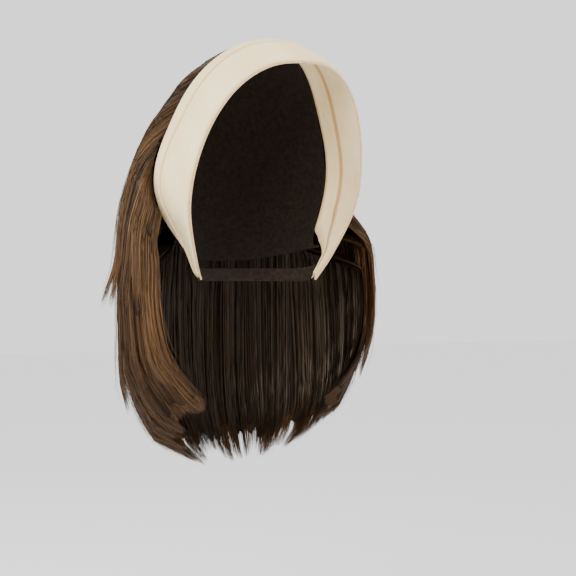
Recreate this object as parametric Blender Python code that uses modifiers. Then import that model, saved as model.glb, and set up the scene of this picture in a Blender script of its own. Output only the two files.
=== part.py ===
"""Half wig: a curled bob of hair on a cap, behind a velvet band, as a head wears it.

Metres, +Z up. The wearer faces -Y and +X is the wearer's left. The origin is
the top of the hollow, where the crown of the head seats.
"""
import math
from collections import namedtuple
from functools import lru_cache

import bpy
import numpy as np

# Head that the wig is shaped on, measured from the middle of the skull
HEAD_HALF_WIDTH = 0.075
HEAD_FRONT = 0.090
HEAD_BACK = 0.094
CROWN_RISE = 0.095
SIDE_DROP = 0.137
NAPE_DROP = 0.122

# Ears, which push the band outward
EAR_SWELL = 0.012
EAR_SPREAD = 0.036
EAR_SETBACK = 0.020
EAR_DEPTH = 0.112

# Velvet band: angles are seen from a point low inside the neck
BAND_PIVOT_SETBACK = 0.025
BAND_PIVOT_DEPTH = 0.240
TAIL_SETBACK = 0.0166
TAIL_DEPTH = 0.1908
BAND_LEAN = 21.0
BAND_WIDTH = 0.057
BAND_WALL = 0.003
BAND_REAR_LIFT = 0.0015
BAND_COLUMNS = 46
CREASE_DEPTH = 0.0009
BINDING_RADIUS = 0.0008

# Cap and nape strap
CAP_WALL = 0.0015
CAP_HEM_BACK = 0.172
CAP_HEM_SIDE = 0.158
CAP_HEM_ANGLE = 74.0
CAP_SHARE_OF_BAND = 0.8235
STRAP_WIDTH = 0.010
STRAP_WALL = 0.0014
STRAP_OVER_TAILS = 0.0068
STRAP_TAIL_SHARE = 0.25
TAIL_SEAM_SHARE = 0.06
STRAP_COLUMNS = 22
CAP_ROWS = 8

# Hair: its fall starts where it leaves the skull
HAIR_SHARE_OF_BAND = 0.715
HAIR_AXIS_SETBACK = 0.018
BACK_LEAVES_AT = 0.070
SIDE_LEAVES_AT = 0.140
BACK_LENGTH = 0.348
SIDE_LENGTH = 0.286
BACK_FULLNESS = 0.035
FLANK_FULLNESS = 0.0315
SIDE_FULLNESS = 0.033
FRONT_ANGLE = 104.0
FLANK_PLACE = 0.53
SHOULDER = 2.2
ROOT_LIFT = 0.0032
SIDE_ROOT_LIFT = 0.002
LIFT_SWELL = 0.8
LOCK_COUNT = 12
LOCK_GROOVE = 0.0012
LAYER_GAP = 0.0013
HAIR_EDGE_THINNING = 0.45
THINNEST_HAIR = 0.0009
FLICK = 0.004

# Gaps between the pieces
CLEARANCE = 0.0003
SEAM_GAP = 0.00045
ROOT_SEAM_GAP = 0.0006
CAP_CLEARANCE = 0.0008

BandStation = namedtuple("BandStation", "reach lean width")
BAND_STATIONS = [
    BandStation(0.000, 1.000, 1.00),
    BandStation(0.174, 0.933, 1.09),
    BandStation(0.348, 0.876, 1.08),
    BandStation(0.522, 0.848, 0.99),
    BandStation(0.696, 0.857, 0.91),
    BandStation(0.783, 0.829, 0.77),
    BandStation(0.848, 0.790, 0.49),
    BandStation(0.913, 0.743, 0.20),
    BandStation(1.000, 0.600, 0.09),
]

BandProfile = namedtuple("BandProfile", "across rise")
BAND_PROFILE = [
    BandProfile(0.00, 0.45),
    BandProfile(0.05, 0.90),
    BandProfile(0.25, 1.00),
    BandProfile(0.50, 1.00),
    BandProfile(0.60, 0.97),
    BandProfile(0.65, 1.00),
    BandProfile(0.70, 0.97),
    BandProfile(0.85, 1.00),
    BandProfile(0.96, 0.90),
    BandProfile(1.00, 0.50),
]
CREASE_PLACE = 0.65
LIFT_STARTS_AT = 0.5

HairSection = namedtuple("HairSection", "fall back flank side front")
HAIR_SECTIONS = [
    HairSection(0.00, 0.775, 0.850, 0.825, 0.890),
    HairSection(0.14, 0.900, 0.931, 0.972, 0.971),
    HairSection(0.30, 0.964, 0.974, 0.995, 0.990),
    HairSection(0.45, 1.000, 1.000, 1.000, 1.000),
    HairSection(0.61, 1.000, 0.995, 0.972, 1.019),
    HairSection(0.76, 0.973, 0.974, 0.880, 1.038),
    HairSection(0.88, 0.892, 0.897, 0.713, 1.077),
    HairSection(0.96, 0.720, 0.741, 0.574, 1.096),
    HairSection(1.00, 0.486, 0.500, 0.463, 1.077),
]
SKULL_STAGES = 3
LAST_STAGE = SKULL_STAGES + len(HAIR_SECTIONS) - 1

HairLayer = namedtuple("HairLayer", "name root fan joins ends wall rises risen reach colour")
HAIR_LAYERS = [
    HairLayer("crown_weft_hair", 0.00, 1.00, 0.0, 6.3, 0.0035, 12.0, 0.0000, 1.00, (0.20, 0.115, 0.060)),
    HairLayer("upper_weft_hair", 0.30, 0.86, 3.0, 8.8, 0.0040, 6.8, 0.0020, 0.99, (0.16, 0.090, 0.047)),
    HairLayer("middle_weft_hair", 0.62, 0.80, 4.0, 11.0, 0.0040, 9.2, 0.0030, 0.98, (0.13, 0.072, 0.038)),
    HairLayer("nape_weft_hair", 0.84, 0.74, 5.0, 10.4, 0.0040, 9.2, 0.0100, 0.96, (0.07, 0.040, 0.022)),
]
SKULL_ROWS = 3
CROWN_ROWS = 4
HANGING_ROWS = (3.0, 4.0, 5.0, 6.0, 7.0, 7.75, 8.5, 9.25, 10.0)
BACK_BULGE = 0.8
SIDE_BULGE = 0.3
RISE_STAGES = 1.2
COLUMNS_PER_LOCK = 4
RAGGED_ENDS = 0.35
ROOT_WALL_SHARE = 0.34
FULL_WALL_STAGE = 4.5
TAPER_STARTS_AT = 0.7
OVER_BAND_FROM = 0.6
OVER_BAND_BY = 0.9
TIP_WALL_SHARE = 0.28
ROOT_ROW_SHARE = 0.05
LEAVING_STAGES = 0.1

SKULL_CENTRE = np.array([0.0, 0.0, -CROWN_RISE])
BAND_PIVOT = np.array([0.0, BAND_PIVOT_SETBACK, -BAND_PIVOT_DEPTH])
TAIL_REACH = HEAD_HALF_WIDTH * math.sqrt(
    1 - ((TAIL_DEPTH - CROWN_RISE) / SIDE_DROP) ** 2 - (TAIL_SETBACK / HEAD_BACK) ** 2)
STRAP_DEPTH = TAIL_DEPTH - STRAP_OVER_TAILS
TAIL_OVER_PIVOT = math.hypot(TAIL_SETBACK - BAND_PIVOT_SETBACK, BAND_PIVOT_DEPTH - TAIL_DEPTH)
BAND_ARC = math.degrees(math.atan2(TAIL_REACH, TAIL_OVER_PIVOT))
CAP_ARC = BAND_ARC * CAP_SHARE_OF_BAND
HAIR_ROOT_ARC = BAND_ARC * HAIR_SHARE_OF_BAND
BACK_REACH = HEAD_BACK - HAIR_AXIS_SETBACK + BACK_FULLNESS
FLANK_REACH = (HEAD_HALF_WIDTH + HEAD_BACK) / 2 + FLANK_FULLNESS
SIDE_REACH = HEAD_HALF_WIDTH + SIDE_FULLNESS


def clear_scene():
    for thing in list(bpy.data.objects):
        bpy.data.objects.remove(thing, do_unlink=True)


def plain_material(name, colour, roughness):
    material = bpy.data.materials.new(name)
    material.use_nodes = True
    shader = material.node_tree.nodes["Principled BSDF"]
    shader.inputs["Base Color"].default_value = (*colour, 1.0)
    shader.inputs["Roughness"].default_value = roughness
    shader.inputs["Metallic"].default_value = 0.0
    return material


def unit(vector):
    return vector / np.linalg.norm(vector)


def smooth(share):
    share = min(max(share, 0.0), 1.0)
    return share * share * (3 - 2 * share)


def through(stations, values, place):
    """Smooth value at a place between stations, level at the first, with no overshoot."""
    last = len(stations) - 1
    index = min(max(int(np.searchsorted(stations, place, side="right")) - 1, 0), last - 1)
    widths = np.diff(stations)
    slopes = np.diff(values) / widths

    def slope_at(node):
        if node == 0:
            return 0.0
        if node == last:
            return slopes[-1]
        before, after = slopes[node - 1], slopes[node]
        return 0.0 if before * after <= 0 else 2 * before * after / (before + after)

    width = widths[index]
    t = (place - stations[index]) / width
    start, end = values[index], values[index + 1]
    lean_in, lean_out = slope_at(index) * width, slope_at(index + 1) * width
    return (start * (1 + 2 * t) * (1 - t) ** 2 + lean_in * t * (1 - t) ** 2
            + end * t * t * (3 - 2 * t) + lean_out * t * t * (t - 1))


def head_radius(way):
    """Distance from the middle of the skull to its skin, along a unit direction."""
    x, y, z = way
    depth = HEAD_BACK if y > 0 else HEAD_FRONT
    level = (x / HEAD_HALF_WIDTH) ** 2 + (y / depth) ** 2
    if z >= 0:
        drop = CROWN_RISE
    else:
        drop = SIDE_DROP + (NAPE_DROP - SIDE_DROP) * (y / depth) ** 2 / max(level, 1e-9)
    radius = 1 / math.sqrt(level + (z / drop) ** 2)
    skin = SKULL_CENTRE + radius * np.array(way)
    from_ear = ((skin[1] - EAR_SETBACK) ** 2 + (skin[2] + EAR_DEPTH) ** 2) / EAR_SPREAD ** 2
    sideways = min(1.0, abs(skin[0]) / (HEAD_HALF_WIDTH * 2 / 3))
    return radius + EAR_SWELL * math.exp(-from_ear) * sideways


def on_head(way, off):
    way = unit(way)
    return SKULL_CENTRE + (head_radius(way) + off) * way


def off_head(point):
    """Height of a point above the skin."""
    way = point - SKULL_CENTRE
    return np.linalg.norm(way) - head_radius(unit(way))


@lru_cache(maxsize=None)
def arch_point(sideways, backward, off):
    """Point above the skin, seen from the band's pivot at two angles in degrees."""
    side, back = math.radians(sideways), math.radians(backward)
    way = np.array([math.sin(side), math.cos(side) * math.sin(back), math.cos(side) * math.cos(back)])
    far = BAND_PIVOT_DEPTH + CROWN_RISE / 2
    for _ in range(60):
        far -= (off_head(BAND_PIVOT + far * way) - off) * 0.9
    return BAND_PIVOT + far * way


def band_angles(sideways):
    """Front and rear edge of the band, in degrees back from straight up."""
    share = min(abs(sideways) / BAND_ARC, 1.0)
    reach = [station.reach for station in BAND_STATIONS]
    lean = through(reach, [station.lean for station in BAND_STATIONS], share)
    width = through(reach, [station.width for station in BAND_STATIONS], share)
    front = -BAND_LEAN * lean
    rim = arch_point(sideways, front, 0.0) - BAND_PIVOT
    return front, front + math.degrees(BAND_WIDTH * width / math.hypot(rim[1], rim[2]))


def grid_object(name, columns, rows, place, wall, collection, material):
    """Open sheet of columns by rows, placed point by point, then thickened inward."""
    bpy.ops.mesh.primitive_grid_add(x_subdivisions=columns, y_subdivisions=rows, size=2.0)
    thing = bpy.context.object
    thing.name = thing.data.name = name
    walls = thing.vertex_groups.new(name="wall")
    for vertex in thing.data.vertices:
        across, along = (vertex.co.x + 1) / 2, (vertex.co.y + 1) / 2
        point, share = place(across, along)
        vertex.co = point
        walls.add([vertex.index], share, "REPLACE")
    thing.data.materials.append(material)
    solid = thing.modifiers.new("wall", "SOLIDIFY")
    solid.thickness = wall
    solid.offset = -1.0
    solid.vertex_group = walls.name
    solid.use_quality_normals = True
    face_out(thing)
    for other in list(thing.users_collection):
        other.objects.unlink(thing)
    collection.objects.link(thing)
    return thing


def face_out(thing):
    """Turn the sheet so that its faces look away from the middle of the wig."""
    middle = np.array([0.0, HAIR_AXIS_SETBACK, -CROWN_RISE])
    outward = sum(
        np.dot(np.array(face.normal), np.array(face.center) * [1, 1, 0] - middle * [1, 1, 0])
        for face in thing.data.polygons)
    if outward < 0:
        thing.data.flip_normals()


def velvet_band(collection):
    across_at = [row.across for row in BAND_PROFILE]
    rises = [row.rise for row in BAND_PROFILE]

    def place(along, across):
        row = round(across * (len(BAND_PROFILE) - 1))
        share = across_at[row]
        sideways = BAND_ARC * (2 * along - 1)
        front, rear = band_angles(sideways)
        fullness = min(1.0, (rear - front) / BAND_LEAN)
        crease = CREASE_DEPTH * fullness if share == CREASE_PLACE else 0.0
        wall = BAND_WALL * rises[row] - crease
        lift = BAND_REAR_LIFT * fullness * smooth((share - LIFT_STARTS_AT) / (1 - LIFT_STARTS_AT))
        return arch_point(sideways, front + (rear - front) * share, wall + lift), wall / BAND_WALL

    material = plain_material("cream_velvet", (0.93, 0.84, 0.68), 0.85)
    return grid_object("velvet_band", BAND_COLUMNS, len(BAND_PROFILE) - 1, place, BAND_WALL, collection, material)


def edge_step(sideways, backward, distance):
    """Angle at the pivot that spans a distance along the skin."""
    rim = arch_point(sideways, backward, 0.0) - BAND_PIVOT
    return math.degrees(distance / math.hypot(rim[1], rim[2]))


def behind_band(sideways, distance, off):
    """Point above the skin, a distance behind the band's rear edge."""
    rear = band_angles(sideways)[1]
    return arch_point(sideways, rear + edge_step(sideways, rear, distance), off)


def skull_way(turn, depth):
    """Direction to the skin at a turn from the back of the head and a depth under the crown."""
    across, along = math.sin(math.radians(turn)), math.cos(math.radians(turn))
    below = CROWN_RISE - depth
    drop = SIDE_DROP + (NAPE_DROP - SIDE_DROP) * along ** 2
    shrink = math.sqrt(max(0.0, 1 - (below / drop) ** 2))
    reach = HEAD_BACK if along > 0 else HEAD_FRONT
    return unit(np.array([across * HEAD_HALF_WIDTH * shrink, along * reach * shrink, below]))


def blend_ways(start, end, share):
    """Direction part of the way round from one to another."""
    angle = math.acos(min(1.0, float(np.dot(start, end))))
    return (start * math.sin((1 - share) * angle) + end * math.sin(share * angle)) / math.sin(angle)


def front_edge_binding(collection):
    """Thin rolled hem just ahead of the band's front edge."""
    curve = bpy.data.curves.new("front_edge_binding", "CURVE")
    curve.dimensions = "3D"
    curve.bevel_depth = BINDING_RADIUS
    curve.bevel_resolution = 1
    curve.use_fill_caps = True
    line = curve.splines.new("POLY")
    line.points.add(BAND_COLUMNS)
    for index, point in enumerate(line.points):
        sideways = BAND_ARC * (2 * index / BAND_COLUMNS - 1)
        front = band_angles(sideways)[0]
        ahead = edge_step(sideways, front, BINDING_RADIUS + CLEARANCE)
        point.co = (*arch_point(sideways, front - ahead, BINDING_RADIUS + CLEARANCE), 1.0)
    thing = bpy.data.objects.new("front_edge_binding", curve)
    curve.materials.append(plain_material("tan_thread", (0.80, 0.62, 0.40), 0.7))
    collection.objects.link(thing)


def cap_point(around, down, off):
    """Point above the cap's ground: around from -1 to 1, down from the band to the hem."""
    top = unit(behind_band(CAP_ARC * around, SEAM_GAP, 0.0) - SKULL_CENTRE)
    depth = CAP_HEM_BACK + (CAP_HEM_SIDE - CAP_HEM_BACK) * around ** 2
    hem = skull_way(CAP_HEM_ANGLE * around, depth)
    return on_head(blend_ways(top, hem, down), off)


def wig_cap(collection):
    def place(along, across):
        return cap_point(2 * along - 1, across, CAP_WALL), 1.0

    columns = round(BAND_COLUMNS * CAP_SHARE_OF_BAND)
    material = plain_material("brown_net", (0.05, 0.03, 0.02), 0.9)
    return grid_object("wig_cap", columns, CAP_ROWS, place, CAP_WALL, collection, material)


def nape_elastic(collection):
    """Flat strap round the nape, from one tail of the band to the other."""
    def tail_edge(side, down):
        sideways = BAND_ARC * (1 - TAIL_SEAM_SHARE * (1 - down))
        return behind_band(side * sideways, SEAM_GAP, STRAP_WALL)

    middle = tail_edge(1, 0.5)
    turn_at_tail = math.degrees(math.atan2(middle[0] / HEAD_HALF_WIDTH, middle[1] / HEAD_BACK))

    def place(along, across):
        around = 2 * along - 1
        depth = STRAP_DEPTH + STRAP_WIDTH * (across - 0.5)
        on_nape = on_head(skull_way(turn_at_tail * around, depth), STRAP_WALL)
        hold = smooth((abs(around) - 1 + STRAP_TAIL_SHARE) / STRAP_TAIL_SHARE)
        edge = tail_edge(math.copysign(1, around), across)
        return on_nape + (edge - on_nape) * hold, 1.0

    material = plain_material("brown_elastic", (0.06, 0.04, 0.03), 0.8)
    return grid_object("nape_elastic", STRAP_COLUMNS, 1, place, STRAP_WALL, collection, material)


def ring_point(section, around):
    """Where the outermost hair passes a section, around from -1 to 1 through the back."""
    turn = math.radians(FRONT_ANGLE * section.front * around)
    back = BACK_REACH * section.back
    flank = FLANK_REACH * section.flank - back
    side = SIDE_REACH * section.side - back
    place, square = FLANK_PLACE ** 2, around ** 2
    steep = (flank / place - side) / (place - 1)
    reach = back + (side - steep) * square + steep * square ** 2
    forward = abs(around) ** SHOULDER
    leaves = BACK_LEAVES_AT + (SIDE_LEAVES_AT - BACK_LEAVES_AT) * forward
    hem = BACK_LENGTH + (SIDE_LENGTH - BACK_LENGTH) * forward
    depth = leaves + (hem - leaves) * section.fall
    return np.array([reach * math.sin(turn), HAIR_AXIS_SETBACK + reach * math.cos(turn), -depth])


@lru_cache(maxsize=None)
def outer_stages(around):
    """Points that the outermost hair passes: its root, over the skull, then each section."""
    root = behind_band(HAIR_ROOT_ARC * around, ROOT_SEAM_GAP, ROOT_LIFT + SIDE_ROOT_LIFT * around ** 2)
    sections = [ring_point(section, around) for section in HAIR_SECTIONS]
    start, end = unit(root - SKULL_CENTRE), unit(sections[0] - SKULL_CENTRE)
    leaving_lift = off_head(sections[0])
    skull = []
    for stage in range(1, SKULL_STAGES):
        share = stage / SKULL_STAGES
        lift = ROOT_LIFT + (leaving_lift - ROOT_LIFT) * share ** LIFT_SWELL
        skull.append(on_head(blend_ways(start, end, share), lift))
    return np.array([root, *skull, *sections])


def outer_hair(around, stage):
    """Point of the outermost hair at a place around the wig and a stage down it."""
    points = outer_stages(around)
    index = min(max(int(stage), 0), len(points) - 2)
    t = stage - index
    before, start, end, after = (points[min(max(index + step, 0), len(points) - 1)] for step in (-1, 0, 1, 2))
    return 0.5 * (2 * start + (end - before) * t + (2 * before - 5 * start + 4 * end - after) * t ** 2
                  + (3 * start - before - 3 * end + after) * t ** 3)


def outward(around, stage):
    step = 0.01
    across = outer_hair(around + step, stage) - outer_hair(around - step, stage)
    along = outer_hair(around, min(stage + step, LAST_STAGE)) - outer_hair(around, max(stage - step, 0))
    return unit(np.cross(across, along))


def layer_depth(index):
    """Depth of a layer's face under the outermost hair, beneath the layers over it."""
    return sum(layer.wall + LAYER_GAP for layer in HAIR_LAYERS[:index])


def layer_rows(layer):
    """Stages of a layer's rows: over the skull, then level with the other layers' rows."""
    joins = layer.joins or HANGING_ROWS[0]
    count = SKULL_ROWS if layer.joins else CROWN_ROWS
    skull_rows = [joins * step / count for step in range(count + 1)]
    last = layer.ends - 2.5 * RAGGED_ENDS
    return skull_rows + [stage for stage in HANGING_ROWS if joins < stage < last] + [layer.ends]


def hair_layer(index, collection):
    """One curtain of locks: sewn to the cap, hanging, then curling in with ragged ends."""
    layer = HAIR_LAYERS[index]
    columns = LOCK_COUNT * COLUMNS_PER_LOCK
    stages = layer_rows(layer)

    def hanging(around, stage):
        rise = smooth((stage - layer.rises) / RISE_STAGES)
        depth = layer_depth(index) + (layer.risen - layer_depth(index)) * rise
        thin = 1 - HAIR_EDGE_THINNING * around ** 2
        return outer_hair(around, stage) - outward(around, stage) * depth * thin

    def along_layer(around, stage):
        if stage >= layer.joins:
            return hanging(around, stage)
        root_off = CAP_WALL + CLEARANCE + layer.wall * ROOT_WALL_SHARE
        root = cap_point(around * layer.fan, layer.root, root_off)
        below = cap_point(around * layer.fan, layer.root + ROOT_ROW_SHARE, root_off)
        joined = hanging(around, layer.joins)
        leaving = hanging(around, layer.joins + LEAVING_STAGES) - joined
        bulge = BACK_BULGE + (SIDE_BULGE - BACK_BULGE) * around ** 2
        reach = np.linalg.norm(joined - root) * bulge
        t = stage / layer.joins
        return (root * (1 + 2 * t) * (1 - t) ** 2 + unit(below - root) * reach * t * (1 - t) ** 2
                + joined * t * t * (3 - 2 * t) + unit(leaving) * reach * t * t * (t - 1))

    def place(along, across):
        around = layer.reach * (2 * along - 1)
        column = round(along * columns) + index * COLUMNS_PER_LOCK // 2
        lock, within = divmod(column, COLUMNS_PER_LOCK)
        crest = math.sin(math.pi * within / COLUMNS_PER_LOCK)
        uneven = 0.5 * math.sin(2.4 * lock + 1.7 * index)
        short = RAGGED_ENDS * (1 - crest) + RAGGED_ENDS * (0.5 + uneven)
        row = round(across * (len(stages) - 1))
        last = row == len(stages) - 1
        stage = stages[row] - (short if last else 0.0)
        groove = LOCK_GROOVE * (1 - crest) ** 2 * smooth(stage / 2)
        share = ROOT_WALL_SHARE + (1 - ROOT_WALL_SHARE) * smooth(stage / FULL_WALL_STAGE)
        share += (TIP_WALL_SHARE - share) * smooth((stage / layer.ends - TAPER_STARTS_AT) / (1 - TAPER_STARTS_AT))
        share *= 1 - HAIR_EDGE_THINNING * around ** 2
        wall = max(layer.wall * share - groove, THINNEST_HAIR)
        point = along_layer(around, stage) - outward(around, max(stage, layer.joins)) * groove
        over_band = smooth((abs(around) - OVER_BAND_FROM) / (OVER_BAND_BY - OVER_BAND_FROM))
        ground = CAP_WALL + (BAND_WALL + BAND_REAR_LIFT - CAP_WALL) * over_band
        clear = ground + CAP_CLEARANCE + wall
        if off_head(point) < clear:
            point = on_head(point - SKULL_CENTRE, clear)
        if last and index == 0:
            point = point + outward(around, stage) * FLICK * crest * (0.5 + uneven)
        return point, wall / layer.wall

    material = plain_material(layer.name + "_brown", layer.colour, 0.5)
    return grid_object(layer.name, columns, len(stages) - 1, place, layer.wall, collection, material)


def main():
    clear_scene()
    parts = bpy.data.collections.new("half_wig")
    bpy.context.scene.collection.children.link(parts)
    velvet_band(parts)
    front_edge_binding(parts)
    wig_cap(parts)
    nape_elastic(parts)
    for index in range(len(HAIR_LAYERS)):
        hair_layer(index, parts)


main()
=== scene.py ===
# %% [markdown]
# # A half wig with a velvet band
#
# A half wig, or fall, is a curtain of hair sewn to a small cap, with a wide
# band that hides where the false hair meets the wearer's own. This lesson
# dresses a plain model of one: velvet for the band, a rolled hem along its
# front edge, cloth for the cap, and thousands of thin strands over dark
# underlayers for the hair.
#
# The plain model is loaded first. It is the frame that every piece has to fit.

# %% Load the frame
import math
from collections import namedtuple
from functools import lru_cache

import bmesh
import bpy
import numpy as np
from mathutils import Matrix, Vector


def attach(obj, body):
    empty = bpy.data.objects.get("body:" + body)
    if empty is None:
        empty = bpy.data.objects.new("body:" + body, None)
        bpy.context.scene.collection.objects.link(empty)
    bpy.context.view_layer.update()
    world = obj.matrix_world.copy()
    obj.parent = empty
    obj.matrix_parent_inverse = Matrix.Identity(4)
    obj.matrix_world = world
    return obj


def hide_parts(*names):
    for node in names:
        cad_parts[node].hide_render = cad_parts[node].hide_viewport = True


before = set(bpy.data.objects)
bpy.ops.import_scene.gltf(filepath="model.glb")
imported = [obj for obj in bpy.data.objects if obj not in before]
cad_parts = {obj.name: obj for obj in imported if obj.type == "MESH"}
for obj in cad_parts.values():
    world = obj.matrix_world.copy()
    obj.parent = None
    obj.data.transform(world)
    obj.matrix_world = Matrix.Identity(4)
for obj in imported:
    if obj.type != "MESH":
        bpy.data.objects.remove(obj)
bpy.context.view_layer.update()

# %% [markdown]
# ## The camera
#
# The wig is seen from the wearer's right front, a third of the way round, from
# a little over a metre with a portrait lens. A camera at the height of the
# jaw keeps the hanging hair upright in the picture. It stands slightly to one
# side, so that the wig sits left of the middle.

# %% Place the camera
VIEW_TURN = math.radians(-33.0)
VIEW_DISTANCE = 1.2
VIEW_HEIGHT = -0.196
VIEW_SIDESTEP = 0.0161
LENS_MM = 93.0

toward_camera = Vector((math.sin(VIEW_TURN), -math.cos(VIEW_TURN), 0.0))
camera_right = Vector((math.cos(VIEW_TURN), math.sin(VIEW_TURN), 0.0))
camera_data = bpy.data.cameras.new("portrait_camera")
camera_data.lens = LENS_MM
camera = bpy.data.objects.new("portrait_camera", camera_data)
camera.location = toward_camera * VIEW_DISTANCE + camera_right * VIEW_SIDESTEP + Vector((0, 0, VIEW_HEIGHT))
camera.rotation_euler = (math.radians(90.0), 0.0, VIEW_TURN)
bpy.context.scene.collection.objects.link(camera)
bpy.context.scene.camera = camera
print("camera at", [round(value, 3) for value in camera.location])

# %% [markdown]
# ## Floor, sky and lamps
#
# Hair shows its colour in broad soft light and its strands in a slanting one.
# A large lamp in front and to the left lights the near side, a weaker one
# fills the right, and a third from above and behind draws the crown off the
# pale ground.

# %% Light the studio
FLOOR_DEPTH = -0.62


def area_lamp(name, place, aim, size, power):
    """A square soft lamp that faces a point."""
    data = bpy.data.lights.new(name, "AREA")
    data.size = size
    data.energy = power
    lamp = bpy.data.objects.new(name, data)
    lamp.location = place
    lamp.rotation_euler = (Vector(aim) - Vector(place)).to_track_quat("-Z", "Y").to_euler()
    bpy.context.scene.collection.objects.link(lamp)
    return lamp


wig_middle = (0.0, 0.03, -0.17)
area_lamp("key_lamp", (-1.5, -1.1, 0.7), wig_middle, 0.9, 44.0)
area_lamp("fill_lamp", (1.3, -1.5, 0.1), wig_middle, 1.2, 12.0)
area_lamp("crown_lamp", (-0.6, 1.1, 1.2), wig_middle, 0.9, 14.0)

world = bpy.data.worlds.new("studio_sky")
world.use_nodes = True
world.node_tree.nodes["Background"].inputs["Color"].default_value = (1.0, 1.0, 1.0, 1.0)
world.node_tree.nodes["Background"].inputs["Strength"].default_value = 1.5
bpy.context.scene.world = world

floor_mesh = bmesh.new()
bmesh.ops.create_grid(floor_mesh, x_segments=1, y_segments=1, size=8.0)
bmesh.ops.translate(floor_mesh, verts=floor_mesh.verts, vec=(0.0, 0.0, FLOOR_DEPTH))
floor_data = bpy.data.meshes.new("studio_floor")
floor_mesh.to_mesh(floor_data)
floor_mesh.free()
floor = bpy.data.objects.new("studio_floor", floor_data)
bpy.context.scene.collection.objects.link(floor)
floor_paint = bpy.data.materials.new("pale_floor")
floor_paint.use_nodes = True
floor_paint.node_tree.nodes["Principled BSDF"].inputs["Base Color"].default_value = (0.92, 0.92, 0.92, 1.0)
floor_paint.node_tree.nodes["Principled BSDF"].inputs["Roughness"].default_value = 0.8
floor_data.materials.append(floor_paint)
print("lamps:", len(bpy.data.lights))

# %% [markdown]
# ## The head under the wig
#
# Everything here follows a head: the band lies on it, the cap covers its back
# and the hair stands off it. The head itself isn't built. It is only a rule
# for the distance from the middle of the skull to the skin in any direction:
# half an egg above, a longer one below, and a swell at each ear.

# %% Describe the head
HEAD_HALF_WIDTH = 0.075
HEAD_FRONT = 0.090
HEAD_BACK = 0.094
CROWN_RISE = 0.095
SIDE_DROP = 0.137
NAPE_DROP = 0.122
EAR_SWELL = 0.012
EAR_SPREAD = 0.036
EAR_SETBACK = 0.020
EAR_DEPTH = 0.112
SKULL_CENTRE = np.array([0.0, 0.0, -CROWN_RISE])


def unit(vector):
    return vector / np.linalg.norm(vector)


def smooth(share):
    """Ease from 0 to 1, for one number or an array."""
    share = np.clip(share, 0.0, 1.0)
    return share * share * (3 - 2 * share)


def head_radius(way):
    """Distance from the middle of the skull to the skin along a unit direction."""
    x, y, z = way
    depth = HEAD_BACK if y > 0 else HEAD_FRONT
    level = (x / HEAD_HALF_WIDTH) ** 2 + (y / depth) ** 2
    if z >= 0:
        drop = CROWN_RISE
    else:
        drop = SIDE_DROP + (NAPE_DROP - SIDE_DROP) * (y / depth) ** 2 / max(level, 1e-9)
    radius = 1 / math.sqrt(level + (z / drop) ** 2)
    skin = SKULL_CENTRE + radius * np.array(way)
    from_ear = ((skin[1] - EAR_SETBACK) ** 2 + (skin[2] + EAR_DEPTH) ** 2) / EAR_SPREAD ** 2
    sideways = min(1.0, abs(skin[0]) / (HEAD_HALF_WIDTH * 2 / 3))
    return radius + EAR_SWELL * math.exp(-from_ear) * sideways


def on_head(way, off):
    way = unit(way)
    return SKULL_CENTRE + (head_radius(way) + off) * way


def off_head(point):
    """Height of a point above the skin."""
    way = point - SKULL_CENTRE
    return np.linalg.norm(way) - head_radius(unit(way))


print("head width at the ears in mm:", round(2000 * on_head(np.array([1.0, 0.2, -0.2]), 0.0)[0]))

# %% [markdown]
# ## Where the band runs
#
# The band is an arch from behind one jaw, over the crown, to the other. Seen
# from a point low inside the neck, its front edge leans forward by nearly the
# same angle all the way, so two angles name any place on it: sideways along
# the arch, and backward across it. A short table gives the lean and the width,
# and a smooth curve runs through its rows.

# %% Describe the arch of the band
BAND_PIVOT = np.array([0.0, 0.025, -0.240])
TAIL_SETBACK = 0.0166
TAIL_DEPTH = 0.1908
TAIL_REACH = HEAD_HALF_WIDTH * math.sqrt(
    1 - ((TAIL_DEPTH - CROWN_RISE) / SIDE_DROP) ** 2 - (TAIL_SETBACK / HEAD_BACK) ** 2)
TAIL_OVER_PIVOT = math.hypot(TAIL_SETBACK - BAND_PIVOT[1], BAND_PIVOT[2] + TAIL_DEPTH)
BAND_ARC = math.degrees(math.atan2(TAIL_REACH, TAIL_OVER_PIVOT))
BAND_LEAN = 21.0
BAND_WIDTH = 0.057
BAND_WALL = 0.003
BAND_REAR_LIFT = 0.0015

BandStation = namedtuple("BandStation", "reach lean width")
BAND_STATIONS = [
    BandStation(0.000, 1.000, 1.00),
    BandStation(0.174, 0.933, 1.09),
    BandStation(0.348, 0.876, 1.08),
    BandStation(0.522, 0.848, 0.99),
    BandStation(0.696, 0.857, 0.91),
    BandStation(0.783, 0.829, 0.77),
    BandStation(0.848, 0.790, 0.49),
    BandStation(0.913, 0.743, 0.20),
    BandStation(1.000, 0.600, 0.09),
]


def through(stations, values, place):
    """Smooth value at a place between stations, level at the first, with no overshoot."""
    last = len(stations) - 1
    index = min(max(int(np.searchsorted(stations, place, side="right")) - 1, 0), last - 1)
    widths = np.diff(stations)
    slopes = np.diff(values) / widths

    def slope_at(node):
        if node == 0:
            return 0.0
        if node == last:
            return slopes[-1]
        before, after = slopes[node - 1], slopes[node]
        return 0.0 if before * after <= 0 else 2 * before * after / (before + after)

    width = widths[index]
    t = (place - stations[index]) / width
    start, end = values[index], values[index + 1]
    lean_in, lean_out = slope_at(index) * width, slope_at(index + 1) * width
    return (start * (1 + 2 * t) * (1 - t) ** 2 + lean_in * t * (1 - t) ** 2
            + end * t * t * (3 - 2 * t) + lean_out * t * t * (t - 1))


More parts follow.
